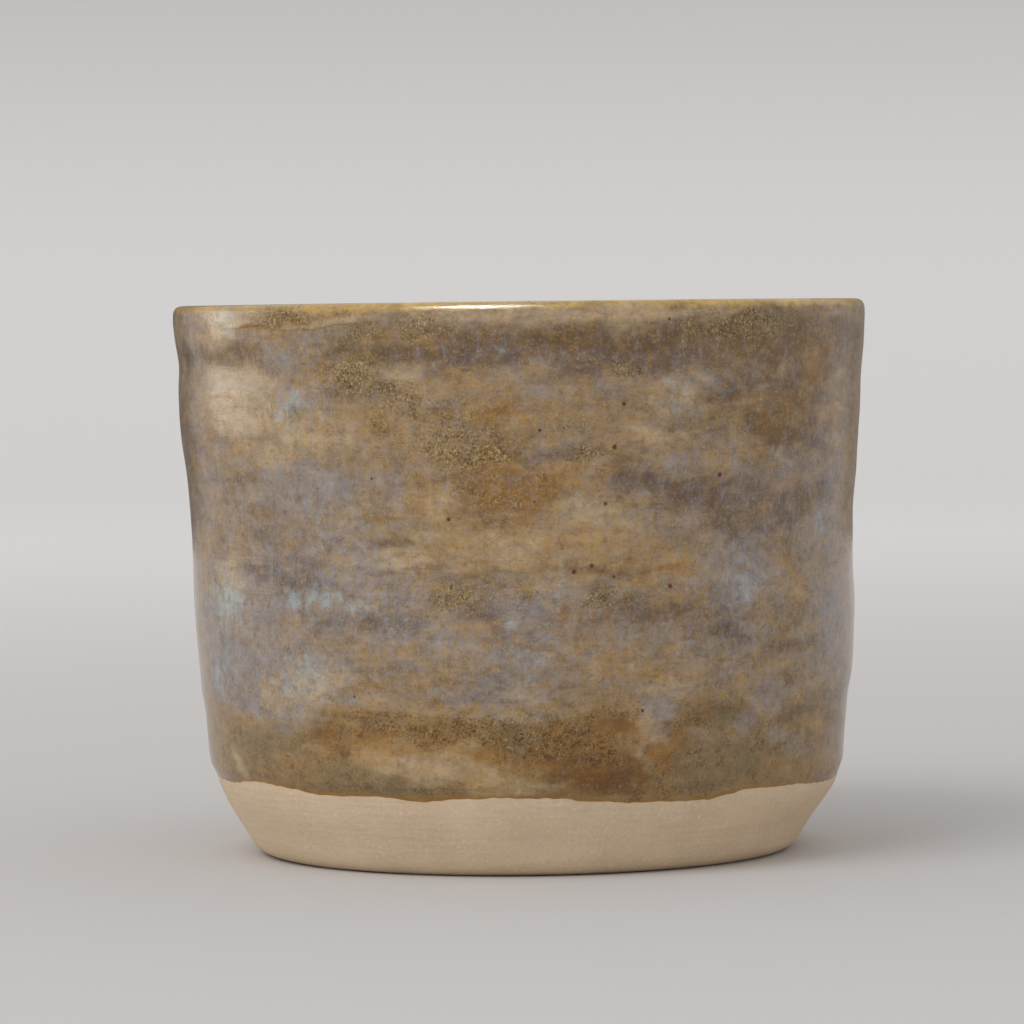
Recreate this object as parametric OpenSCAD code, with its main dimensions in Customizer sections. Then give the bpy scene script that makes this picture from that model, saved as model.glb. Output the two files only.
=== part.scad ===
// Hand-thrown stoneware espresso cup with no handle.
// One thrown and trimmed clay body carries four fired glaze coats: a liner inside, an amber base coat
// outside, a blue coat brushed over the base coat, and a rim coat that laps over the lip.
// Millimetres. The origin is the middle of the foot, on the table, and +Z points up out of the cup.
// Every profile is half of a section through the axis, as [radius, height] points.

/* [Cup] */
// Overall height to the crest of the lip, glaze included
cup_h = 55.5; // [46:0.5:70]
// Outside diameter at the lip, glaze included
rim_d = 70; // [62:0.5:82]
// Thickness of the thrown clay wall, which ends in a fully rounded lip
wall_t = 2.6; // [1.8:0.1:4]
// Height of the clay floor inside the cup above the table
floor_h = 4.6; // [3:0.1:8]
// Radius of the rounded corner between floor and wall inside the cup
inside_corner_r = 9; // [4:0.5:14]

/* [Foot] */
// Diameter of the foot where it stands on the table
foot_d = 54.2; // [48:0.2:60]
// Diameter of the bare clay where the trimmed bevel meets the wall
waist_d = 63.2; // [61:0.2:68]
// Height at which the trimmed bevel meets the wall
bevel_h = 7.7; // [5:0.1:11]
// Rounding where the bevel turns into the wall
shoulder_r = 14; // [6:0.5:18]
// Rounding of the foot's outer edge
foot_edge_r = 3; // [0.5:0.1:4]
// Diameter of the shallow recess turned under the foot
recess_d = 43; // [30:0.5:46]
// Depth of the recess under the foot
recess_depth = 1; // [0.4:0.1:2]

/* [Glaze] */
// Thickness of the liner coat inside the cup
liner_t = 0.3; // [0.15:0.05:0.6]
// Thickness of the amber base coat outside the cup
base_coat_t = 0.3; // [0.15:0.05:0.6]
// Thickness of the blue coat brushed over the base coat
blue_coat_t = 0.2; // [0.1:0.05:0.5]
// Thickness of the rim coat lapped over the lip
rim_coat_t = 0.2; // [0.1:0.05:0.5]
// Height of the glaze line, where the base coat stops above the bare foot
glaze_line_h = 7.9; // [6:0.1:12]
// Height of the amber band left showing between the glaze line and the blue coat
amber_band_h = 8.1; // [5:0.1:20]
// How far the rim coat laps down the outside, below the rounded lip
rim_lap = 0.6; // [0.3:0.1:6]
// How far the rim coat laps down the inside, below the rounded lip
rim_lap_inside = 2; // [0.3:0.1:8]

/* [Hidden] */
$fn = 128;
// Flat steps in each rounded stretch of a profile
arc_steps = 16;
// Points closer together than this are one point
same_point = 0.0001;

// The lip is a half round as thick as the wall, under the thicker of the two coats that meet at its crest
lip_r = wall_t / 2;
lip_centre = [
    rim_d / 2 - base_coat_t - rim_coat_t - lip_r,
    cup_h - max(base_coat_t, liner_t) - rim_coat_t - lip_r
];

// Corners of the bare clay before rounding
foot_corner = [foot_d / 2, 0];
waist_corner = [waist_d / 2, bevel_h];

// Slopes of the bevel and of the wall, in degrees up from the table
waist_to_lip = lip_centre - waist_corner;
bevel_angle = atan2(bevel_h, waist_corner.x - foot_corner.x);
wall_angle = atan2(waist_to_lip.y, waist_to_lip.x) - asin(lip_r / norm(waist_to_lip));
out_of_wall = wall_angle - 90;
into_cup = wall_angle + 90;

// Where the rounded lip turns into the outer and the inner face of the wall
lip_outer_end = lip_centre + lip_r * toward(out_of_wall);
lip_inner_end = lip_centre + lip_r * toward(into_cup);

// Centres of the roundings on the clay
foot_edge_centre = rounding_centre(foot_corner, foot_edge_r, 0, bevel_angle);
shoulder_centre = rounding_centre(waist_corner, shoulder_r, bevel_angle, wall_angle);
inside_corner_centre = face_point(
    lip_inner_end,
    floor_h + inside_corner_r,
    inside_corner_r,
    into_cup
);

// Heights at which the coats start and stop, on the clay
blue_start_h = glaze_line_h + amber_band_h;
rim_edge_h = lip_outer_end.y - rim_lap;
rim_inner_edge_h = lip_inner_end.y - rim_lap_inside;

// Unit vector at an angle
function toward(angle) = [cos(angle), sin(angle)];

// Centre of a rounding that touches two straight stretches meeting at a corner
function rounding_centre(corner, r, angle_in, angle_out) =
    corner - toward((angle_in + angle_out) / 2 - 90) * r / cos((angle_out - angle_in) / 2);

// Points on an arc
function arc(centre, r, from, to) =
    [for (i = [0:arc_steps]) centre + r * toward(from + (to - from) * i / arc_steps)];

// Point at height h on a line that stands off a face of the wall by t, given one point of that face
function face_point(on_face, h, t, off_face) =
    let (start = on_face + t * toward(off_face))
    start + toward(wall_angle) * (h - start.y) / sin(wall_angle);

// Point of a face of the wall at height h, moved straight off that face by t
function wall_point(on_face, h, t, off_face) = face_point(on_face, h, 0, off_face) + t * toward(off_face);

// Points of a rising path above height h, starting with the point at h
function above(path, h) =
    let (first = [for (i = [1:len(path) - 1]) if (path[i].y > h && path[i - 1].y <= h) i][0])
    let (a = path[first - 1], b = path[first])
    concat([a + (b - a) * (h - a.y) / (b.y - a.y)], [for (i = [first:len(path) - 1]) path[i]]);

// A path the other way round
function reverse(path) = [for (i = [len(path) - 1:-1:0]) path[i]];

// A path with each run of equal points kept once
function tidy(path) =
    [for (i = [0:len(path) - 1]) if (i == 0 || norm(path[i] - path[max(i, 1) - 1]) > same_point) path[i]];

// Bevel and shoulder of the clay, moved out by t
function bevel_path(t) = concat(
    arc(foot_edge_centre, foot_edge_r + t, -90, bevel_angle - 90),
    arc(shoulder_centre, shoulder_r + t, bevel_angle - 90, out_of_wall)
);

// Outer and inner half of the rounded lip, moved out by t, both ending at the crest
function lip_outer(t) = arc(lip_centre, lip_r + t, out_of_wall, 90);
function lip_inner(t) = arc(lip_centre, lip_r + t, into_cup, 90);

// Outside of the cup from the foot up to the crest, moved out by t
function outside(t) = concat(bevel_path(t), lip_outer(t));

// Inside of the cup from the middle of the floor up to the crest, moved into the cup by t
function inside(t) = concat(
    [[0, floor_h + t]],
    arc(inside_corner_centre, inside_corner_r - t, -90, out_of_wall),
    lip_inner(t)
);

// Underside of the foot, from the middle out to the foot ring
function underside() = [
    [0, recess_depth],
    [recess_d / 2 - recess_depth, recess_depth],
    [recess_d / 2, 0]
];

// A solid turned from the stretch between two paths that run the same way
module turned(near, far) {
    rotate_extrude() polygon(tidy(concat(near, reverse(far))));
}

// Thrown clay body: trimmed foot and bevel, wall and lip, inside and floor
module stoneware_body() {
    color("#b39e84") turned(concat(underside(), outside(0)), inside(0));
}

// Coat over the whole inside, up to the crest of the lip
module liner_glaze() {
    color("#b7a48d") turned(inside(0), inside(liner_t));
}

// Coat over the outside from the glaze line to the crest, with a thin tapered lower edge
module amber_base_glaze() {
    color("#846a45") turned(
        above(outside(0), glaze_line_h),
        above(outside(base_coat_t), glaze_line_h + base_coat_t)
    );
}

// Path of the blue coat's inner or outer face, from height h up to the rim coat
function blue_path(t, h) =
    above(concat(bevel_path(t), [wall_point(lip_outer_end, rim_edge_h, t, out_of_wall)]), h);

// Coat brushed over the base coat, from the amber band up to the rim coat
module blue_brushed_glaze() {
    color("#8d8187") turned(
        blue_path(base_coat_t, blue_start_h),
        blue_path(base_coat_t + blue_coat_t, blue_start_h + blue_coat_t)
    );
}

// Path over the lip that stands t off the base coat and off the liner
function rim_path(t) = concat(
    [wall_point(lip_outer_end, rim_edge_h, base_coat_t + t, out_of_wall)],
    lip_outer(base_coat_t + t),
    reverse(lip_inner(liner_t + t)),
    [wall_point(lip_inner_end, rim_inner_edge_h + t, liner_t + t, into_cup)]
);

// Coat over the lip, from the blue coat outside to the tapered edge inside
module rim_glaze() {
    color("#a98a55") turned(rim_path(0), rim_path(rim_coat_t));
}

stoneware_body();
liner_glaze();
amber_base_glaze();
blue_brushed_glaze();
rim_glaze();
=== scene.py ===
"""Looks of a hand-thrown stoneware espresso cup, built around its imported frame.

Lengths are millimetres until a mesh is made. A place on the cup is a bearing in degrees, 0 at the front
(-Y) and growing towards +X, with a height above the table or a travel along the section of the clay,
which runs from the middle of the underside, up the outside and down the inside.
"""
import math

import bpy
import numpy as np
from mathutils import Matrix, Vector


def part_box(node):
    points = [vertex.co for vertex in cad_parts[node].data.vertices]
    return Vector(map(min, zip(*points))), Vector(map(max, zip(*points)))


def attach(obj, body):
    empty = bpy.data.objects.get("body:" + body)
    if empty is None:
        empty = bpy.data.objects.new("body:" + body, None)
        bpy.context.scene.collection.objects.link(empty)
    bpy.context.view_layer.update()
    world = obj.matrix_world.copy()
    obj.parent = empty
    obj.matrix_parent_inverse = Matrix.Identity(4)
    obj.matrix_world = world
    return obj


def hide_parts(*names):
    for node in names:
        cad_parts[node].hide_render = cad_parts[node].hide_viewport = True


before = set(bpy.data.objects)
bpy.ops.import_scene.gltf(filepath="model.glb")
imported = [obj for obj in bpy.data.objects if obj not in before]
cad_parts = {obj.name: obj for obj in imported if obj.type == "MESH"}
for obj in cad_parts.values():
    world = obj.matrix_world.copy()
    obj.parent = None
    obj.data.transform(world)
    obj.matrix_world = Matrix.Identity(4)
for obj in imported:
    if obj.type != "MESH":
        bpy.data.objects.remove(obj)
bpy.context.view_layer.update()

MM = 0.001
TAU = 2 * math.pi


def node_box(node):
    """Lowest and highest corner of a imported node, in millimetres."""
    return [np.array(corner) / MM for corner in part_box(node)]


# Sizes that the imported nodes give
CUP_H = node_box("rim_glaze")[1][2]
RIM_R = node_box("rim_glaze")[1][0]
RIM_INSIDE_EDGE_H = node_box("rim_glaze")[0][2]
CLAY_TOP = node_box("stoneware_body")[1][2]
CLAY_RIM_R = node_box("stoneware_body")[1][0]
FLOOR_H = node_box("liner_glaze")[0][2]
BASE_COAT_T = node_box("amber_base_glaze")[1][0] - CLAY_RIM_R
RIM_COAT_T = RIM_R - CLAY_RIM_R - BASE_COAT_T
GLAZE_LINE_H = node_box("amber_base_glaze")[0][2]
RIM_EDGE_H = node_box("blue_brushed_glaze")[1][2]

# Sizes of the clay and of two coats that no node's box gives
FOOT_R = 27.1
FOOT_EDGE_R = 3
WAIST_R = 31.6
BEVEL_H = 7.7
SHOULDER_R = 14
WALL_T = 2.6
INSIDE_CORNER_R = 9
RECESS_R = 21.5
RECESS_DEPTH = 1
RECESS_EDGE_R = 0.3
LINER_T = 0.3
BLUE_COAT_T = 0.2

# Points in each rounded corner of the section, and the distance within which two points are one
ARC_POINTS = 33
SAME_POINT = 1e-6

# What the potter's hands left: the cup leans to the left, its lip sags at both sides, it is not quite
# round and longest at one bearing, and its coats run out in thin edges
LEAN = -0.2
LIP_SAG = 0.08
OVAL = 0.002
OVAL_AT = 35
THIN_EDGE_T = 0.03

# Swells of the thrown wall, as depth, middle height and half height: a low belly and a slight waist all
# round, a groove that the thumb pressed under the lip on the left, and a fuller belly on the right
SWELLS_ALL_ROUND = [(0.14, 21, 6), (-0.24, 34, 7)]
SWELLS_LEFT = [(0.14, 43, 3), (-0.24, 49.5, 1.9), (0.07, 25.5, 2.6)]
SWELLS_RIGHT = [(0.38, 20, 10), (0.43, 7.4, 2.3), (-0.1, 2.5, 1.5)]
# Finger rings, as depth, spacing, start of the spiral and the heights over which they come and go, and
# the share of the outer ones that was smoothed away on the left
OUTER_RINGS = (0.03, 6.4, 0.3, (12, 20), (51, 54))
INNER_RINGS = (0.16, 7.5, 0, (12, 20), (46, 52))
SMOOTHED_LEFT = 0.7
# Full shoulder of the lip, as depth, travel below the crest and half width
LIP_SHOULDER = (0.4, 1, 0.55)
# Sines of the bearings over which the left and the right side begin
LEFT_SIDE = (0.2, 0.85)
RIGHT_SIDE = (0.2, 0.95)
# Heights over which the unevenness of the wall comes and goes, and over which turning lines begin
UNEVEN = ((8, 14), (50, 55))
TURNED = (0.2, 0.6)

# Random ripples, each as seed, length round the cup, height, which has no say along an edge, and
# strength, and how many waves add up to one
RIPPLES = {
    "wall": (11, 24, 14, 0.07),
    "glaze_line": (21, 5, 1, 0.05),
    "fray": (25, 1.2, 1, 0.06),
    "blue_edge": (22, 4, 1, 0.25),
    "rim_edge": (23, 14, 1, 0.1),
    "rim_inside_edge": (24, 12, 1, 0.5),
    "burnt": (26, 5, 1, 0.3),
    "pooled": (27, 2.5, 2, 0.4),
    "crest_line": (28, 6, 1, 0.4),
    "turning_lines": (31, 400, 0.7, 0.009),
    "turning_waves": (32, 60, 1.6, 0.006),
    "brush_strokes": (41, 16, 2.2, 0.008),
    "brush_hairs": (42, 8, 1.1, 0.004),
    "strokes_aside": (51, 9, 5, 1.3),
    "strokes_upward": (52, 7, 3, 0.45),
}
WAVES = 28


def corner_arc(before, corner, after, rounding):
    """Points of the arc that rounds a corner of the section."""
    into = (corner - before) / np.linalg.norm(corner - before)
    out = (after - corner) / np.linalg.norm(after - corner)
    turn = math.atan2(into[0] * out[1] - into[1] * out[0], into @ out)
    reach = rounding * math.tan(abs(turn) / 2)
    aside = np.array([-into[1], into[0]]) * math.copysign(rounding, turn)
    centre = corner - into * reach + aside
    spoke = -aside
    across = np.array([-spoke[1], spoke[0]])
    angles = np.linspace(0, turn, ARC_POINTS)
    return [centre + spoke * math.cos(angle) + across * math.sin(angle) for angle in angles]


def clay_section():
    """Half section of the clay as radius and height, from under the foot to the middle of the floor."""
    lip_r = WALL_T / 2
    waist = np.array([WAIST_R, BEVEL_H])
    run, rise = np.array([CLAY_RIM_R - lip_r, CLAY_TOP - lip_r]) - waist
    slope = math.atan2(rise, run) - math.asin(lip_r / math.hypot(run, rise))
    outer_top = WAIST_R + (CLAY_TOP - BEVEL_H) / math.tan(slope)
    inner_top = outer_top - WALL_T / math.sin(slope)
    inner_low = inner_top - (CLAY_TOP - FLOOR_H) / math.tan(slope)
    corners = [
        (0, RECESS_DEPTH, 0),
        (RECESS_R - RECESS_DEPTH, RECESS_DEPTH, RECESS_EDGE_R),
        (RECESS_R, 0, RECESS_EDGE_R),
        (FOOT_R, 0, FOOT_EDGE_R),
        (WAIST_R, BEVEL_H, SHOULDER_R),
        (outer_top, CLAY_TOP, lip_r),
        (inner_top, CLAY_TOP, lip_r),
        (inner_low, FLOOR_H, INSIDE_CORNER_R),
        (0, FLOOR_H, 0),
    ]
    places = [np.array(corner[:2], float) for corner in corners]
    path = [places[0]]
    for before, corner, after, (_, _, rounding) in zip(places, places[1:], places[2:], corners[1:]):
        path += corner_arc(before, corner, after, rounding)
    path = np.array(path + [places[-1]])
    apart = np.linalg.norm(np.diff(path, axis=0), axis=1)
    return path[np.concatenate([[True], apart > SAME_POINT])]


SECTION = clay_section()
TRAVEL = np.concatenate([[0], np.cumsum(np.linalg.norm(np.diff(SECTION, axis=0), axis=1))])
HEADING = np.gradient(SECTION, TRAVEL, axis=0)
CREST = TRAVEL[SECTION[:, 1].argmax()]
END = TRAVEL[-1]
FOOT_RING = TRAVEL[np.flatnonzero(SECTION[:, 1] < SAME_POINT)[0]]
OUTSIDE = (TRAVEL >= FOOT_RING) & (TRAVEL <= CREST)
INSIDE = TRAVEL >= CREST


def on_section(travel, values):
    """Radius and height, or the two parts of a heading, at a travel along the section."""
    return [np.interp(travel, TRAVEL, values[:, axis]) for axis in (0, 1)]


def outside_at(height):
    """Travel at which the outside of the clay has this height."""
    return np.interp(height, SECTION[OUTSIDE, 1], TRAVEL[OUTSIDE])


def inside_at(height):
    """Travel at which the inside of the clay has this height."""
    return np.interp(height, SECTION[INSIDE, 1][::-1], TRAVEL[INSIDE][::-1])


# Where the rows of a mesh change their spacing, and how far from a pole its last ring lies
LIP_OUTSIDE = outside_at(50)
LIP_INSIDE = inside_at(50)
FLOOR_EDGE = inside_at(FLOOR_H + 0.01)
POLE_R = 0.5
# Points round the cup on each kind of mesh
CLAY_COLUMNS = 512
COAT_COLUMNS = 640
LINER_COLUMNS = 448
# An edge between two faces that turn by more degrees than this is sharp
SHARP = 50


def ease(value, low, high):
    """0 below low, 1 above high and a smooth step between them."""
    share = np.clip((value - low) / (high - low), 0, 1)
    return share * share * (3 - 2 * share)


def mound(value, middle, half):
    """1 at the middle, falling smoothly on both sides to about a third at half a width away."""
    return np.exp(-(((value - middle) / half) ** 2))


def ripple(name, bearing, height=0):
    """A smooth random field that swings to both sides of 0. Along an edge it needs no height."""
    seed, length, tall, strength = RIPPLES[name]
    rng = np.random.default_rng(seed)
    most = int(TAU * WAIST_R / length)
    total = np.zeros(np.broadcast(bearing, height).shape)
    for _ in range(WAVES):
        around = rng.integers(-most, most + 1)
        upward = rng.uniform(-1, 1) * TAU / tall
        total += np.cos(np.radians(bearing) * around + height * upward + rng.uniform(0, TAU))
    return strength * (total / math.sqrt(2 * WAVES))


def drawn_edge(bearing, knots):
    """Height of a drawn edge round the cup, eased from one (bearing, height) knot to the next."""
    at, height = np.array(knots, float).T
    place = np.interp((bearing + 180) % 360 - 180, at, np.arange(len(at)))
    knot = np.minimum(place.astype(int), len(at) - 2)
    return height[knot] + (height[knot + 1] - height[knot]) * ease(place - knot, 0, 1)


def come_and_go(height, come, go):
    """A smooth rise from 0 to 1 over one stretch of height, and a fall back to 0 over another."""
    return ease(height, *come) * (1 - ease(height, *go))


def finger_rings(bearing, height, depth, spacing, start, come, go):
    """The spiral that fingers leave on a turning wall."""
    spiral = np.sin(TAU * (height / spacing + bearing / 360) + start)
    return depth * spiral * come_and_go(height, come, go)


def throwing_marks(travel, height, bearing):
    """How far the thrown clay stands off its straight section."""
    side = np.sin(np.radians(bearing))
    left = ease(-side, *LEFT_SIDE)
    right = ease(side, *RIGHT_SIDE)
    outer = finger_rings(bearing, height, *OUTER_RINGS) * (1 - SMOOTHED_LEFT * left)
    for swells, share in ((SWELLS_ALL_ROUND, 1), (SWELLS_LEFT, left), (SWELLS_RIGHT, right)):
        for depth, middle, half in swells:
            outer = outer + depth * share * mound(height, middle, half)
    depth, below, half = LIP_SHOULDER
    outer = outer + depth * mound(CREST - travel, below, half)
    outer = outer + ripple("wall", bearing, height) * come_and_go(height, *UNEVEN)
    return np.where(travel < CREST, outer, finger_rings(bearing, height, *INNER_RINGS))


def surface(travel, bearing, thickness):
    """Points that stand this thick off the thrown clay, as x, y, z."""
    radius, height = on_section(travel, SECTION)
    heading = on_section(travel, HEADING)
    length = np.hypot(*heading)
    stand = thickness + throwing_marks(travel, height, bearing)
    radius = radius + heading[1] / length * stand
    height = height - heading[0] / length * stand
    turn = np.radians(bearing)
    share = height / CUP_H
    radius = radius * (1 + OVAL * share * np.cos(2 * (turn - math.radians(OVAL_AT))))
    x = radius * np.sin(turn) + LEAN * share
    y = -radius * np.cos(turn)
    return np.stack([x, y, height - LIP_SAG * share * np.sin(turn) ** 2], axis=-1)


def outside_point(bearing, height):
    """Place of a point on the glazed outside."""
    spot = surface(np.array([[outside_at(height)]]), np.array([[bearing]]), BASE_COAT_T + BLUE_COAT_T)
    return spot.ravel().tolist()


def bearings(columns):
    """One bearing for each column of a mesh, the first one behind the cup."""
    return (np.arange(columns) * 360 / columns - 180)[None, :]


def rows(*stretches):
    """Travel of every point of a mesh, from (start, stop, count) stretches that may vary round the cup.
    No stretch holds its own stop, so a last one of a single row ends the mesh."""
    parts = [np.linspace(start, stop, count, endpoint=False) for start, stop, count in stretches]
    parts = [part.reshape(len(part), -1) for part in parts]
    wide = max(part.shape[1] for part in parts)
    return np.concatenate([np.broadcast_to(part, (len(part), wide)) for part in parts])


def closed_mesh(name, rings, poles=False):
    """A closed mesh through rings of points, which join up again or end in a pole at both ends."""
    count, columns = rings.shape[:2]
    index = np.arange(count * columns).reshape(count, columns)
    if not poles:
        index = np.vstack([index, index[:1]])
    after = np.roll(index, -1, axis=1)
    quads = np.stack([index[:-1], after[:-1], after[1:], index[1:]], axis=-1).reshape(-1, 4)
    points = rings.reshape(-1, 3)
    faces = quads.tolist()
    if poles:
        low, high = len(points), len(points) + 1
        points = np.vstack([points, rings[0].mean(0), rings[-1].mean(0)])
        faces += [[low, right, left] for left, right in zip(index[0], after[0])]
        faces += [[high, left, right] for left, right in zip(index[-1], after[-1])]
    mesh = bpy.data.meshes.new(name)
    mesh.from_pydata((points * MM).tolist(), [], faces)
    mesh.shade_smooth()
    mesh.set_sharp_from_angle(angle=math.radians(SHARP))
    mesh.validate()
    return mesh


def paint(mesh, layers):
    """Stores layers of one number for each point of a mesh, for its material to read. Hidden points,
    which come last, get 0."""
    for name, values in layers.items():
        short = len(mesh.vertices) - values.size
        values = np.append(values.ravel(), np.zeros(short)).astype(np.float32)
        mesh.attributes.new(name, "FLOAT", "POINT").data.foreach_set("value", values)


def new_object(name, data):
    """A new object in the scene."""
    made = bpy.data.objects.new(name, data)
    bpy.context.scene.collection.objects.link(made)
    return made


def put_on_cup(mesh, node, material):
    """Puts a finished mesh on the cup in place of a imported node."""
    piece = new_object(mesh.name, mesh)
    mesh.materials.append(material)
    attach(piece, "root")
    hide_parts(node)


# Edges of the coats, drawn as (bearing, height) knots, the rim coat's from its packed edge
GLAZE_LINE = [
    (-180, 8), (-150, 8.6), (-120, 7.9), (-90, 8.3), (-72, 8.1), (-56, 8.65), (-47, 8.35), (-40, 7.95),
    (-33, 7.95), (-27, 8.05), (-20, 7.7), (-11, 8), (-5, 8.1), (-1, 8.05), (3.5, 8), (6, 7.9),
    (12, 7.55), (20, 7.35), (34, 7.3), (39, 7.65), (42.5, 8.05), (52, 8), (72, 7.6), (90, 8.2),
    (120, 7.8), (150, 8.5), (180, 8),
]
BLUE_EDGE = [
    (-180, 16.8), (-150, 15), (-120, 16.6), (-90, 14.6), (-65, 14), (-55, 12.6), (-45, 12.4),
    (-38, 13.6), (-33, 16.3), (-20, 16.4), (-8, 15.1), (5, 15.4), (13, 16.4), (16, 16), (18.5, 13.6),
    (21.5, 12), (24.5, 13.2), (27, 14.8), (32, 15.7), (37, 15), (45, 13.6), (60, 13.8), (75, 15),
    (90, 16.2), (115, 14.4), (128, 16), (134, 12.4), (140, 16.2), (160, 15.2), (180, 16.8),
]
RIM_LAP = [
    (-180, 0.1), (-140, -0.2), (-100, 0.2), (-70, 0), (-54, 0.1), (-47, 0.55), (-40, 0.15),
    (-34.5, 0.15), (-29.5, 0.5), (-26, 0.6), (-18, 0.2), (0, -0.2), (24, 0.2), (50, -0.2), (80, 0.2),
    (120, -0.1), (150, 0.2), (180, 0.1),
]
# The dark pool of the base coat: how far it lies below the edge of the blue coat, its half height, its
# strength and how much umber it holds
POOL_BELOW = 0.45
POOL_HALF = 0.55
POOL_STRENGTH = 0.6
POOL_UMBER = 0.55
# How many flecks lie all over the bare band, and the share of all flecks that cream hides, also where
# the cream is painted reflection of the window
BAND_FLECKS = 0.3
CREAM_HIDES = 0.9
# Bearing of the middle of the front, with that of the back opposite, and the degrees from either over
# which the flanks begin
FRONT_AT = -10
FLANKS = (20, 29)
# How far from its edge each coat has its full thickness, and half the height of the burnt edge
BASE_REACH = 1.4
BLUE_REACH = 2.5
RIM_REACH = 1.2
BURNT_H = 0.26
# Bead where the rim coat laps over: bearing, bearings to each side over which it fades, travel above the
# edge, half width and height
BEAD_AT = -38
BEAD_FADES = (10, 20)
BEAD_UP = 0.25
BEAD_HALF = 0.35
BEAD_H = 0.07
# The gold of the rim coat, glaze broken thin over the top of the lip and partly a painted highlight
# where that top catches the light, comes and is full this far below the top, and lies lower on the left
GOLD_COMES = 1.15
GOLD_FULL = 0.3
GOLD_LOWER = 0.5
GOLD_LOWER_AT = (-36, 18)
# Share of the gold that strokes of amber hide, and of cream beyond this bearing on the left, where the
# cream is painted reflection of the window on the lip, and share that fades over this travel inside the
# crest
GOLD_HIDDEN = 0.8
PAINTED_REFLECTION_BEYOND = -50
GOLD_FADED = 0.45
GOLD_FADES = (0.2, 1.6)
# Half width of the thin brown line along the crest
CREST_LINE_HALF = 0.5


def glaze_line(bearing):
    """Height of the wavy line where the base coat stops above the bare foot."""
    frayed = ripple("glaze_line", bearing) + ripple("fray", bearing)
    return drawn_edge(bearing, GLAZE_LINE) + frayed


def blue_edge(bearing):
    """Height of the lower edge of the blue coat, with its drips."""
    return drawn_edge(bearing, BLUE_EDGE) + ripple("blue_edge", bearing)


def rim_edge(bearing):
    """Height of the wavy edge where the rim coat laps onto the wall."""
    return RIM_EDGE_H + drawn_edge(bearing, RIM_LAP) + ripple("rim_edge", bearing)


def flank(bearing):
    """1 on the cup's flanks, where the edge of the blue coat fades, and 0 at the front and back."""
    return ease(np.abs((bearing - FRONT_AT + 90) % 180 - 90), *FLANKS)


def pooled_layers(bearing, height, band):
    """Layers of colour on the base coat and the blue coat. The bare band of the base coat is flecked,
    and on the front and the back it pooled dark along the edge of the blue coat."""
    layers = {**wash_layers(bearing, height), "band": band}
    reach = (1 - flank(bearing)) * (POOL_STRENGTH + ripple("pooled", bearing, height))
    pooled = np.clip(reach, 0, 1) * mound(height, blue_edge(bearing) - POOL_BELOW, POOL_HALF)
    layers["umber"] = np.maximum(layers["umber"], POOL_UMBER * pooled)
    moss = np.maximum(np.maximum(layers["moss"], pooled), BAND_FLECKS * band)
    layers["moss"] = moss * (1 - CREAM_HIDES * layers["cream"])
    return layers


# How the strokes of a wash and its grain, added up, show: from the first number on, and in full at the
# second. The grain counts for this much
CRISP = (1.35, 2.05)
SOFT = (1.2, 2.25)
SPARSE = (1.55, 2.25)
GRAIN_GAIN = 2.4
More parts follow.
